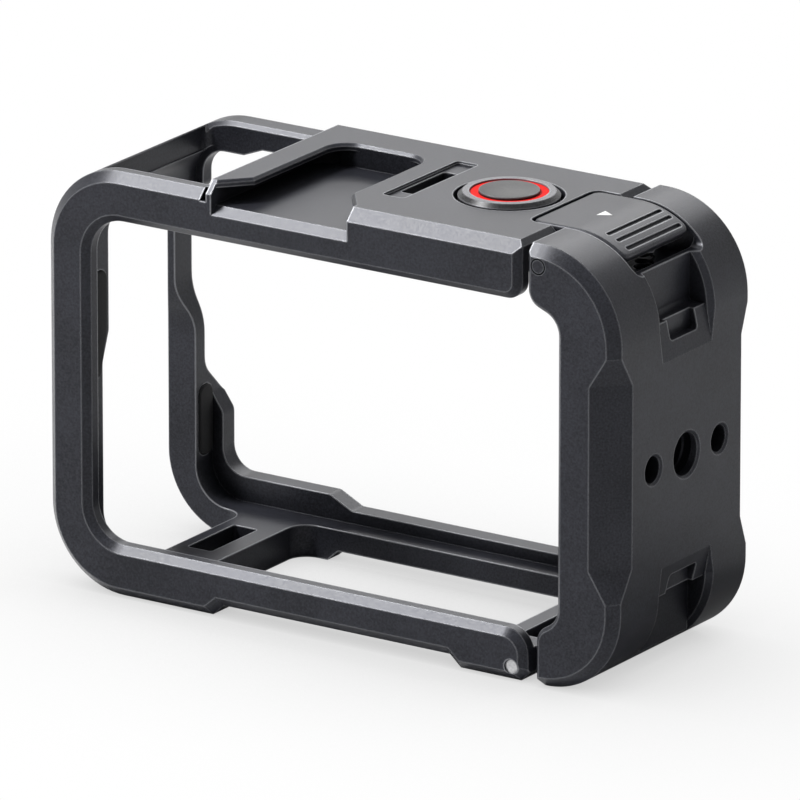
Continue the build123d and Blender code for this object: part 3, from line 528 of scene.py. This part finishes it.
def anodised(name, base, sizes, pin=None, sunk=False):
    """Bead-blasted and anodised aluminium: fine grain, slow clouding, paler edges that are partly
    wear and partly a painted highlight, and painted shade in corners and holes.

    A pin, given as its middle and its radius, leaves a dark seam round its flush end. A sunk piece
    lies wholly in a bore, and is painted all over as dark as the shade of holes.
    """
    skin = Finish(name, Specular_IOR_Level=0.2)
    place = skin.place()
    grain = skin.noise(place, sizes.grain, 2.0, 0.6)
    cloud = skin.noise(place, sizes.cloud, 3.0, 0.5)
    edge = skin.edges(sizes.edge_width)
    openness = skin.openness(sizes.painted_shade_reach)
    # Painted shade: corners and holes narrower than the reach are painted darker
    corner = skin.spread(openness, *CORNER_SHADE_SPAN, 0.4, 0.0)
    # A sunk piece is painted all over with the dark shade of holes
    seam_and_hole_shade = corner.larger(1.0) if sunk else skin.spread(openness, *HOLE_SHADE_SPAN, 1.0, 0.0)
    if pin:
        middle, radius = pin
        x, _, z = skin.axes(place)
        away = ((x - middle.x) ** 2 + (z - middle.z) ** 2) ** 0.5 - radius
        seam = skin.spread(away**2, SEAM**2, (2.5 * SEAM) ** 2, 1.0, 0.0)
        edge = edge * (1.0 - seam)
        seam_and_hole_shade = seam_and_hole_shade.larger(seam)
    tone = skin.spread(0.65 * grain + 0.35 * cloud, *GRAIN_SPAN, 0.0, 1.0)
    body = skin.blend(tone, shade(base, 0.62), shade(base, 1.45))
    # Paler sharp edges: partly wear of the anodising, partly a painted highlight
    body = skin.blend(edge * 0.85, body, colour(sizes.aluminium_edge_wear_and_highlight))
    # Painted shade: corners and holes go to 0.15 of the base; holes also become dark rough metal
    body = skin.blend(corner.larger(seam_and_hole_shade), body, shade(base, 0.15))
    rough = skin.spread(grain, *GLOSS_SPAN, 0.27, 0.36)
    rough = rough + 0.04 * cloud - 0.04 * edge + 0.6 * seam_and_hole_shade
    normal = skin.bump(grain, 0.02 * MM, 0.35, skin.rounded(sizes.edge_width))
    skin.surface(Base_Color=body, Metallic=0.2 + 0.8 * seam_and_hole_shade, Roughness=rough, Normal=normal)
    return skin.material


def turned(name, base, centre, sizes, roughness, highlight_radius=0.0):
    """Aluminium turned on a lathe about an upright axis: fine rings under the grain.

    Inside the highlight radius the face is painted paler as a highlight, as are the sharp edges.
    """
    skin = Finish(name, Metallic=0.2, Specular_IOR_Level=0.25)
    place = skin.place()
    rings, radius = skin.marks(centre, CAP_MARKS)
    grain = skin.noise(place, sizes.grain, 2.0, 0.6)
    cloud = skin.noise(place, sizes.cloud / 4, 2.0, 0.5)
    edge = skin.edges(sizes.edge_width)
    tone = skin.spread(0.6 * grain + 0.4 * cloud, *GRAIN_SPAN, 0.0, 1.0)
    body = skin.blend(tone, shade(base, 0.6), shade(base, 1.5))
    if highlight_radius:
        # Painted highlight: inside the highlight radius the face is painted paler, as if lit
        face = skin.spread(radius, highlight_radius - SEAM, highlight_radius + SEAM, 0.6, 0.0)
        body = skin.blend(face, body, shade(base, 9.0))
    # Painted highlight: the sharp edges are painted much paler, as if they caught the light
    body = skin.blend(edge * 0.9, body, shade(base, 12.0))
    rough = skin.spread(grain, *GLOSS_SPAN, roughness - 0.04, roughness + 0.06) + 0.02 * rings
    height = 0.7 * grain + 0.3 * rings
    normal = skin.bump(height, 0.012 * MM, 0.2, skin.rounded(sizes.edge_width))
    skin.surface(Base_Color=body, Roughness=rough, Normal=normal)
    return skin.material


def red_anodised(name, base, centre):
    """Bright red dyed ring with fine turning marks and a little clouding."""
    skin = Finish(name, Metallic=0.0, Specular_IOR_Level=0.03)
    place = skin.place()
    rings, _ = skin.marks(centre, FINE_MARKS)
    cloud = skin.noise(place, 1.2 * MM, 3.0, 0.55)
    grain = skin.noise(place, 0.12 * MM, 2.0, 0.5)
    tone = skin.spread(0.5 * cloud + 0.5 * grain, *CLOUD_SPAN, 0.0, 1.0)
    body = skin.blend(tone, shade(base, 0.86), shade(base, 1.06))
    rough = skin.spread(grain, *GLOSS_SPAN, 0.5, 0.6)
    normal = skin.bump(0.6 * rings + grain, 0.006 * MM, 0.15, skin.rounded(0.08 * MM))
    skin.surface(Base_Color=body, Roughness=rough, Normal=normal)
    return skin.material


def ground_steel(name, base, centre, along):
    """Ground steel pin: marks round its length, rings and a little tarnish on its ends."""
    skin = Finish(name, Metallic=1.0)
    place = skin.place()
    numbers = skin.axes(place)
    first, second = ((numbers[i] - centre[i]) ** 2 for i in range(3) if i != along)
    rings = ((first + second) ** 0.5 * (2 * pi / FINE_MARKS)).sine()
    marks = [1.0, 1.0, 1.0]
    marks[along] = 9.0
    scratches = skin.noise(skin.stretched(place, marks), 0.3 * MM, 3.0, 0.6)
    tarnish = skin.noise(place, 0.8 * MM, 4.0, 0.6)
    tone = skin.spread(0.6 * scratches + 0.4 * tarnish, *CLOUD_SPAN, 0.0, 1.0)
    body = skin.blend(tone, shade(base, 0.72), shade(base, 1.12))
    rough = skin.spread(scratches, *GLOSS_SPAN, 0.26, 0.42)
    normal = skin.bump(scratches + 0.25 * rings, 0.006 * MM, 0.25, skin.rounded(0.1 * MM))
    skin.surface(Base_Color=body, Roughness=rough, Normal=normal)
    return skin.material


def drawn_wire(name, base, roughness):
    """Spring steel wire with drawing lines and light oil tint."""
    skin = Finish(name, Metallic=1.0)
    place = skin.place()
    lines = skin.noise(skin.stretched(place, (1.0, 1.0, 6.0)), 0.12 * MM, 3.0, 0.6)
    tint = skin.noise(place, 1.5 * MM, 2.0, 0.5)
    body = skin.blend(skin.spread(tint, *CLOUD_SPAN, 0.0, 1.0), shade(base, 0.8), colour(base))
    rough = skin.spread(lines, *GLOSS_SPAN, roughness - 0.08, roughness + 0.08)
    skin.surface(Base_Color=body, Roughness=rough, Normal=skin.bump(lines, 0.004 * MM, 0.3))
    return skin.material


def moulded(name, base, roughness, stipple, depth):
    """Moulded rubber or plastic with a fine stipple and uneven gloss."""
    skin = Finish(name, Metallic=0.0, Specular_IOR_Level=0.22)
    place = skin.place()
    spots = skin.noise(place, stipple, 2.0, 0.5)
    cloud = skin.noise(place, 3 * MM, 3.0, 0.6)
    dust = skin.noise(place, 0.5 * MM, 4.0, 0.7)
    tone = skin.spread(0.5 * spots + 0.5 * cloud, *CLOUD_SPAN, 0.0, 1.0)
    body = skin.blend(tone, shade(base, 0.8), shade(base, 1.2))
    body = skin.blend(skin.spread(dust, 0.58, 0.75, 0.0, 0.25), body, shade(base, 2.2))
    rough = skin.spread(spots, *GLOSS_SPAN, roughness - 0.08, roughness + 0.08)
    skin.surface(Base_Color=body, Roughness=rough, Normal=skin.bump(spots, depth, 0.5))
    return skin.material


def print_ink(name, base):
    """Thin white print that shows a little of the grain under it."""
    skin = Finish(name, Metallic=0.0)
    place = skin.place()
    grain = skin.noise(place, 0.17 * MM, 2.0, 0.6)
    wear = skin.spread(grain, 0.62, 0.8, 0.0, 0.3)
    body = skin.blend(wear, colour(base), shade(base, 0.5))
    rough = skin.spread(grain, *GLOSS_SPAN, 0.5, 0.65)
    skin.surface(Base_Color=body, Roughness=rough, Normal=skin.bump(grain, 0.01 * MM, 0.2))
    return skin.material


def give(material, *names):
    """Sets one material on CAD nodes."""
    for name in names:
        mesh = NODES[name].data
        mesh.materials.clear()
        mesh.materials.append(material)


# Surfaces


def solid_of_rings(name, rings, material, sharp=35):
    """Closed solid from an array of rings (ring, point, xyz).

    Neighbouring rings are joined by quads, and the first and the last ring are filled.
    """
    count, around = rings.shape[:2]
    index = np.arange(count * around).reshape(count, around)
    following = np.roll(index, -1, axis=1)
    quads = np.stack([index[:-1], following[:-1], following[1:], index[1:]], axis=-1).reshape(-1, 4)
    faces = quads.tolist() + [index[0, ::-1].tolist(), index[-1].tolist()]
    mesh = bpy.data.meshes.new(name)
    mesh.from_pydata(rings.reshape(-1, 3).tolist(), [], faces)
    edit = bmesh.new()
    edit.from_mesh(mesh)
    bmesh.ops.remove_doubles(edit, verts=edit.verts, dist=1e-7)
    bmesh.ops.recalc_face_normals(edit, faces=edit.faces)
    edit.to_mesh(mesh)
    edit.free()
    mesh.polygons.foreach_set("use_smooth", np.ones(len(mesh.polygons), bool))
    mesh.set_sharp_from_angle(angle=radians(sharp))
    mesh.materials.append(material)
    piece = bpy.data.objects.new(name, mesh)
    bpy.context.scene.collection.objects.link(piece)
    return piece


def rounded_outline(corners, steps=8):
    """Closed line through corners (across, up, radius), each an arc that touches both its sides."""
    corners = np.array(corners, float)
    points, radii = corners[:, :2], corners[:, 2:]
    into = np.roll(points, 1, axis=0) - points
    out = np.roll(points, -1, axis=0) - points
    into /= np.linalg.norm(into, axis=1, keepdims=True)
    out /= np.linalg.norm(out, axis=1, keepdims=True)
    half = np.arccos(np.clip((into * out).sum(axis=1, keepdims=True), -1, 1)) / 2
    middle = into + out
    middle /= np.linalg.norm(middle, axis=1, keepdims=True)
    centre = points + middle * radii / np.sin(half)
    start = points + into * radii / np.tan(half) - centre
    end = points + out * radii / np.tan(half) - centre
    share = np.linspace(0, 1, steps)[None, :, None]
    arc = start[:, None] * (1 - share) + end[:, None] * share
    arc *= radii[:, None] / np.maximum(np.linalg.norm(arc, axis=2, keepdims=True), 1e-12)
    return (centre[:, None] + arc).reshape(-1, 2)


def inward(line):
    """Unit normals of a closed line, to the inside of its turn."""
    along = np.roll(line, -1, axis=0) - np.roll(line, 1, axis=0)
    along /= np.linalg.norm(along, axis=1, keepdims=True)
    normal = np.stack([-along[:, 1], along[:, 0]], axis=1)
    before = np.roll(line, 1, axis=0)
    area = (before[:, 0] * line[:, 1] - line[:, 0] * before[:, 1]).sum()
    return normal * np.sign(area)


def pad_rings(line, spine, back, face, radius, crown):
    """Rings of a crowned pad in (x, y, z).

    The outline runs up from the back, turns over a quarter circle of the radius, and then closes
    in on a spine line while its height follows a parabola from the rim to the crown.
    """
    way = np.sign(face - back)
    turn = np.linspace(0, pi / 2, 7)
    inset = np.concatenate([[0.0], radius * (1 - np.cos(turn))])
    rim = face - way * (crown + radius)
    height = np.concatenate([[back], rim + way * radius * np.sin(turn)])
    lower = line[None] + inward(line)[None] * inset[:, None, None]
    level = np.broadcast_to(height[:, None, None], lower.shape[:2] + (1,))
    lower = np.concatenate([level, lower], axis=2)
    edge = lower[-1, :, 1:]
    ends = np.clip(edge[:, 1], spine[0][1], spine[1][1])
    share = (ends - spine[0][1]) / (spine[1][1] - spine[0][1])
    centre = np.array(spine[0]) + share[:, None] * (np.array(spine[1]) - np.array(spine[0]))
    closing = np.linspace(0, 0.92, 8)[1:, None, None]
    upper = edge[None] * (1 - closing) + centre[None] * closing
    rise = (face - way * crown) + way * crown * (1 - (1 - closing) ** 2)
    upper = np.concatenate([np.broadcast_to(rise, upper.shape[:2] + (1,)), upper], axis=2)
    return np.concatenate([lower, upper])


def lathe_rings(profile, centre, around=48):
    """Rings of a profile (radius, height) turned about an upright axis."""
    profile = np.array(profile, float)
    angle = np.linspace(0, 2 * pi, around, endpoint=False)
    circle = np.stack([np.cos(angle), np.sin(angle)], axis=1)
    flat = profile[:, :1, None] * circle[None] + np.array(centre)[None, None, :2]
    height = np.broadcast_to(profile[:, 1:, None], flat.shape[:2] + (1,))
    return np.concatenate([flat, height], axis=2)


def thread_rings(centre, radius, height, pitch, start, end, per_turn=64):
    """Rings of a thread's ridge along X: a blunt triangle on a helix, shrinking at both ends."""
    turns = (end - start) / pitch
    share = np.linspace(0, 1, int(per_turn * turns))[:, None]
    angle = 2 * pi * turns * share
    runout = np.clip(np.minimum(share, 1 - share) * turns * 3, 0.02, 1)
    across = np.array([[-0.46, -0.40, -0.08, 0.08, 0.40, 0.46]]) * pitch
    depth = np.array([[-0.1, 0.0, 1.0, 1.0, 0.0, -0.1]]) * height * runout
    x = start + (end - start) * share + across
    r = radius - depth
    return np.stack([x, centre[0] + r * np.cos(angle), centre[1] + r * np.sin(angle)], axis=2)


def coil_rings(low, high, wire, turns, per_turn=40, around=12):
    """Rings of a spring between two corners of its box: a circle of wire carried up a helix."""
    middle = (low + high) / 2
    share = np.linspace(0, 1, int(per_turn * turns) + 1)[:, None]
    turn = 2 * pi * turns * share
    section = np.linspace(0, 2 * pi, around, endpoint=False)[None]
    radius = (high.x - low.x - wire) / 2 + wire / 2 * np.cos(section)
    x = middle.x + radius * np.cos(turn)
    y = middle.y + radius * np.sin(turn)
    z = low.z + wire / 2 + (high.z - low.z - wire) * share + wire / 2 * np.sin(section)
    return np.stack([x, y, z], axis=2)


def arrow_rings(base, length, width, top, thickness):
    """Rings of a flat triangle that points along X: sunk in, up its sides, in to a softened rim."""
    corners = [(0, -width / 2, ARROW_ROUND), (length, 0, ARROW_ROUND), (0, width / 2, ARROW_ROUND)]
    line = rounded_outline(corners, 5) + np.array(base)
    inset = np.array([0, 0, ARROW_RIM])
    height = top + np.array([-0.5 * thickness, 0.6 * thickness, thickness])
    flat = line[None] + inward(line)[None] * inset[:, None, None]
    level = np.broadcast_to(height[:, None, None], flat.shape[:2] + (1,))
    return np.concatenate([flat, level], axis=2)


def ground_rings(radius, z, around=96):
    """Rings of a flat disc: a thin rim under a circle."""
    return lathe_rings([(radius, z - FLOOR_THICK), (radius, z)], (0, 0), around)


def settle(piece, body, slot, *stands_for):
    """Puts a new piece on a body and hides the CAD nodes that it stands for; the slot is unused."""
    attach(piece, body)
    if stands_for:
        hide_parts(*stands_for)


# Operators


class CAGE_OT_machined(bpy.types.Operator):
    """Gives the frame, the door, the latch and its pin their dark grained finish"""

    bl_idname = "cage.machined"
    bl_label = "Machined pieces"

    def execute(self, context):
        sizes = context.scene.cage_finishes
        give(anodised("frame anodised", sizes.aluminium, sizes), "main_frame")
        low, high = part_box("latch_pin")
        pin = ((low + high) / 2, (high.x - low.x) / 2)
        give(anodised("door anodised", sizes.aluminium, sizes, pin=pin), "side_door")
        give(anodised("latch pin blackened", sizes.aluminium, sizes, pin=pin), "latch_pin")
        give(anodised("latch anodised", sizes.aluminium, sizes), "latch_tab")
        return {"FINISHED"}


class CAGE_OT_fastenings(bpy.types.Operator):
    """Gives the hinge pin, the stem, the clip and the washers their finishes"""

    bl_idname = "cage.fastenings"
    bl_label = "Pins, clip and washers"

    def execute(self, context):
        sizes = context.scene.cage_finishes
        for name, along in (("hinge_pin", 1), ("button_stem", 2)):
            low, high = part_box(name)
            title = name.replace("_", " ") + " steel"
            give(ground_steel(title, sizes.steel, (low + high) / 2, along), name)
        give(drawn_wire("clip wire", sizes.wire, roughness=0.32), "button_clip")
        nylon = moulded(
            "washer nylon", sizes.nylon, roughness=0.5, stipple=0.2 * MM, depth=0.006 * MM
        )
        give(nylon, "front_hinge_washer", "rear_hinge_washer")
        return {"FINISHED"}


class CAGE_OT_springs(bpy.types.Operator):
    """Winds the springs of the latch and the button"""

    bl_idname = "cage.springs"
    bl_label = "Springs"

    def execute(self, context):
        sizes = context.scene.cage_finishes
        pieces = context.scene.cage_pieces
        # Painted shade: the latch spring's wire is near-black, as the shade of the recess that it
        # sits in
        black = drawn_wire("latch spring wire", sizes.shade_black_wire, roughness=0.8)
        wire = pieces.latch_wire
        self.wind("latch_spring", wire, LATCH_TURNS, black, "door", "latch", "blackened_steel")
        plain = drawn_wire("button spring wire", sizes.wire, roughness=0.32)
        wire = pieces.button_wire
        self.wind("button_spring", wire, BUTTON_TURNS, plain, "frame", "button", "spring_steel")
        return {"FINISHED"}

    def wind(self, node, wire, turns, material, lower_body, upper_body, slot):
        """One spring in its CAD node's place; the two bodies that it would join are not used."""
        low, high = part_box(node)
        rings = coil_rings(low, high, wire, turns)
        piece = solid_of_rings(node + "_wound", rings, material, sharp=60)
        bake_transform(piece)
        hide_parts(node)


class CAGE_OT_button(bpy.types.Operator):
    """Gives the shutter button its finishes and makes its rubber tip"""

    bl_idname = "cage.button"
    bl_label = "Shutter button"

    def execute(self, context):
        sizes = context.scene.cage_finishes
        pieces = context.scene.cage_pieces
        low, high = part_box("button_cap")
        centre = (low + high) / 2
        give(turned("cap turned", sizes.cap, centre, sizes, roughness=0.36), "button_cap")
        low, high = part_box("button_bezel")
        # Radius inside which the bezel's face gets a painted highlight
        highlight_radius = (high.x - low.x) / 2 - BEZEL_FLANK
        bezel = turned("bezel turned", sizes.bezel, centre, sizes, roughness=0.3, highlight_radius=highlight_radius)
        give(bezel, "button_bezel")
        give(red_anodised("ring red", sizes.ring, centre), "button_ring")
        plastic = moulded(
            "bush plastic", sizes.bush, roughness=0.45, stipple=0.25 * MM, depth=0.006 * MM
        )
        give(plastic, "button_bush")
        low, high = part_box("button_tip")
        radius = (high.x - low.x) / 2
        turn = np.linspace(0, pi / 2, 9)
        rim = radius - pieces.tip_round * (1 - np.sin(turn))
        height = low.z + pieces.tip_round * (1 - np.cos(turn)) * 0.999
        profile = [(0.25 * radius, low.z), *np.stack([rim, height], axis=1), (radius, high.z)]
        rubber = moulded(
            "tip rubber", sizes.rubber, roughness=0.7, stipple=0.15 * MM, depth=0.01 * MM
        )
        tip = solid_of_rings("button_rubber_tip", lathe_rings(profile, (low + high) / 2), rubber)
        settle(tip, "button", "black_rubber", "button_tip")
        return {"FINISHED"}


class CAGE_OT_strips(bpy.types.Operator):
    """Makes the rubber strips that keep the camera from rattling"""

    bl_idname = "cage.strips"
    bl_label = "Rubber strips"

    def execute(self, context):
        sizes = context.scene.cage_finishes
        pieces = context.scene.cage_pieces
        rubber = moulded(
            "strip rubber", sizes.rubber, roughness=0.68, stipple=0.16 * MM, depth=0.014 * MM
        )
        for node, body, faces_right in (
            ("front_rubber_strip", "frame", True),
            ("rear_rubber_strip", "frame", True),
            ("door_rubber_strip", "door", False),
        ):
            low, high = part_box(node)
            back, face = (low.x, high.x) if faces_right else (high.x, low.x)
            line, spine = self.shape(node, low, high)
            rings = pad_rings(line, spine, back, face, pieces.strip_round, pieces.strip_crown)
            piece = solid_of_rings(node + "_moulded", rings, rubber, sharp=50)
            settle(piece, body, "black_rubber", node)
        return {"FINISHED"}

    def shape(self, node, low, high):
        """Outline of a strip in (y, z) and the spine that its face closes in on."""
        ends, lean = (high.y - low.y) * STANDING_ENDS, 0.0
        if node == "front_rubber_strip":
            ends, lean = STEPPED_ENDS, STEP_LEAN
        elif node == "door_rubber_strip":
            ends = (high.z - low.z) * LYING_ENDS
        foot = [(high.y, low.z, ends)]
        if lean:
            lower, upper = STEP_ROUNDS
            foot = [(high.y - STEP_BACK, low.z, lower), (high.y, low.z + STEP_RISE, upper)]
        corners = [(low.y, low.z, ends), *foot, (high.y, high.z, ends), (low.y, high.z, ends)]
        middle = (low.y + high.y) / 2
        inset = SPINE_INSET + ends / 2
        spine = [(middle - lean, low.z + inset), (middle, high.z - inset)]
        return rounded_outline(corners), spine


class CAGE_OT_thread(bpy.types.Operator):
    """Makes the ridges of the thread in the door"""

    bl_idname = "cage.thread"
    bl_label = "Thread"

    def execute(self, context):
        sizes = context.scene.cage_finishes
        pieces = context.scene.cage_pieces
        mount = next(m for m in frame["record"]["mounts"] if m["name"] == "tripod_thread")
        x, y, z = mount["pos_m"]
        half = mount["dims"]["length_mm"] * MM / 2 - 0.45 * pieces.thread_pitch
        radius = mount["dims"]["r_mm"] * MM
        rings = thread_rings(
            (y, z), radius, pieces.thread_height, pieces.thread_pitch, x - half, x + half
        )
        # The ridges get the painted shade of holes all over, as dark as the inside of the bore
        finish = anodised("thread anodised", sizes.aluminium, sizes, sunk=True)
        piece = solid_of_rings("thread_ridge", rings, finish)
        settle(piece, "door", "anodised_aluminium")
        return {"FINISHED"}


class CAGE_OT_arrow(bpy.types.Operator):
    """Prints the arrow on the latch"""

    bl_idname = "cage.arrow"
    bl_label = "Printed arrow"

    def execute(self, context):
        sizes = context.scene.cage_finishes
        pieces = context.scene.cage_pieces
        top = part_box("latch_tab")[1].z
        length, width = pieces.arrow_length, pieces.arrow_width
        rings = arrow_rings(ARROW_BASE, length, width, top, pieces.print_thickness)
        piece = solid_of_rings("latch_arrow_print", rings, print_ink("arrow ink", sizes.ink))
        settle(piece, "latch", "latch_aluminium")
        return {"FINISHED"}


class CAGE_OT_stage(bpy.types.Operator):
    """Makes the floor, the lamps, the pale surroundings and the camera"""

    bl_idname = "cage.stage"
    bl_label = "Stage"

    def execute(self, context):
        stage = context.scene.cage_stage
        context.scene.view_settings.view_transform = "Standard"
        self.surroundings(context, stage)
        self.floor(stage)
        for lamp in LAMPS:
            self.lamp(context, *lamp)
        self.camera(context, stage)
        return {"FINISHED"}

    def surroundings(self, context, stage):
        """White as seen, and a weak even light on the object."""
        world = bpy.data.worlds.new("surroundings")
        world.use_nodes = True
        maker = NodeMaker(world.node_tree)
        sky = next(n for n in maker.tree.nodes if n.type == "BACKGROUND")
        maker.feed(sky.inputs["Color"], (1.0, 1.0, 1.0, 1.0))
        camera, gloss = self.seen(maker)
        strength = stage.ambient + (1 - stage.ambient) * camera.larger(gloss)
        maker.feed(sky.inputs["Strength"], strength)
        context.scene.world = world

    def seen(self, maker):
        """Rays that show the surroundings: the camera's, and those of gloss and clear parts."""
        camera = maker.node("ShaderNodeLightPath", output="Is Camera Ray")
        glossy = maker.node("ShaderNodeLightPath", output="Is Glossy Ray")
        clear = maker.node("ShaderNodeLightPath", output="Is Transmission Ray")
        return camera, glossy.larger(clear)

    def floor(self, stage):
        """Pale floor that keeps a soft shadow and is clear to the white surroundings.

        Light and sight pass through it to the door, which swings down past the level of the feet.
        Its shadow is the share of the sky that the object covers, and darkens what lies behind.
        """
        skin = Finish("floor", Roughness=0.9)
        skin.feed(skin.shader.inputs["Base Color"], colour(stage.floor))
        x, y, _ = skin.axes(skin.place())
        radius = (x**2 + y**2) ** 0.5
        camera, gloss = self.seen(skin)
        mirrored = skin.spread(radius, *MIRRORED_SPAN, MIRRORED_WHITE, 1.0) * gloss
        light = skin.node("ShaderNodeLightPath", output="Is Shadow Ray")
        clear = camera.larger(mirrored).larger(light)
        sky = skin.cover({"samples": 16}, SHADOW_REACH)
        underside = skin.node("ShaderNodeNewGeometry", output="Backfacing")
        shadow = (1 - sky) * (1 - underside) * camera * SHADOW_DEPTH
        black = skin.node("ShaderNodeBsdfDiffuse", {}, {"Color": colour((0.0, 0.0, 0.0))})
        glass = skin.node("ShaderNodeBsdfTransparent")
        seen = skin.node("ShaderNodeMixShader", {}, {0: shadow, 1: glass, 2: black})
        matt = Signal(skin, skin.shader.outputs[0])
        mixed = skin.node("ShaderNodeMixShader", {}, {0: clear, 1: matt, 2: seen})
        output = next(n for n in skin.tree.nodes if n.type == "OUTPUT_MATERIAL")
        skin.feed(output.inputs["Surface"], mixed)
        rings = ground_rings(FLOOR_RADIUS, CAD_BOX[0].z - FLOOR_DROP)
        ground = solid_of_rings("floor", rings, skin.material)

    def lamp(self, context, name, place, size, power):
        """Rectangular soft lamp that faces the object."""
        data = bpy.data.lights.new(name, "AREA")
        data.shape = "RECTANGLE"
        data.size, data.size_y = size
        data.energy = power
        lamp = bpy.data.objects.new(name, data)
        lamp.location = place
        aim = Vector(LAMP_AIM) - lamp.location
        lamp.rotation_euler = aim.to_track_quat("-Z", "Y").to_euler()
        context.scene.collection.objects.link(lamp)

    def camera(self, context, stage):
        """Camera on a long lens, round the object by azimuth and elevation."""
        data = bpy.data.cameras.new("camera")
        data.lens = stage.lens
        data.sensor_width = 36.0
        data.clip_end = 20.0
        camera = bpy.data.objects.new("camera", data)
        level = cos(stage.elevation)
        back = Vector(
            (sin(stage.azimuth) * level, -cos(stage.azimuth) * level, sin(stage.elevation))
        )
        camera.location = Vector(stage.target) + back * stage.distance
        camera.rotation_euler = (-back).to_track_quat("-Z", "Y").to_euler()
        context.scene.collection.objects.link(camera)
        context.scene.camera = camera


OPERATORS = (
    CAGE_OT_machined,
    CAGE_OT_fastenings,
    CAGE_OT_springs,
    CAGE_OT_button,
    CAGE_OT_strips,
    CAGE_OT_thread,
    CAGE_OT_arrow,
    CAGE_OT_stage,
)


class CAGE_PT_pieces(bpy.types.Panel):
    """Lists the cage's settings and operators"""

    bl_idname = "CAGE_PT_pieces"
    bl_label = "Camera cage"
    bl_space_type = "VIEW_3D"
    bl_region_type = "UI"
    bl_category = "Cage"

    def draw(self, context):
        scene = context.scene
        for group in (scene.cage_finishes, scene.cage_pieces, scene.cage_stage):
            box = self.layout.box()
            for name in group.bl_rna.properties.keys():
                if name not in ("rna_type", "name"):
                    box.prop(group, name)
        for operator in OPERATORS:
            self.layout.operator(operator.bl_idname)


GROUPS = {"cage_finishes": CageFinishes, "cage_pieces": CagePieces, "cage_stage": CageStage}
CLASSES = (*GROUPS.values(), *OPERATORS, CAGE_PT_pieces)


def register():
    for each in CLASSES:
        bpy.utils.register_class(each)
    for name, group in GROUPS.items():
        setattr(bpy.types.Scene, name, PointerProperty(type=group))


def unregister():
    for name in GROUPS:
        delattr(bpy.types.Scene, name)
    for each in reversed(CLASSES):
        bpy.utils.unregister_class(each)


def main():
    register()
    bpy.ops.cage.machined()
    bpy.ops.cage.fastenings()
    bpy.ops.cage.springs()
    bpy.ops.cage.button()
    bpy.ops.cage.strips()
    bpy.ops.cage.thread()
    bpy.ops.cage.arrow()
    bpy.ops.cage.stage()


if __name__ == "__main__":
    main()
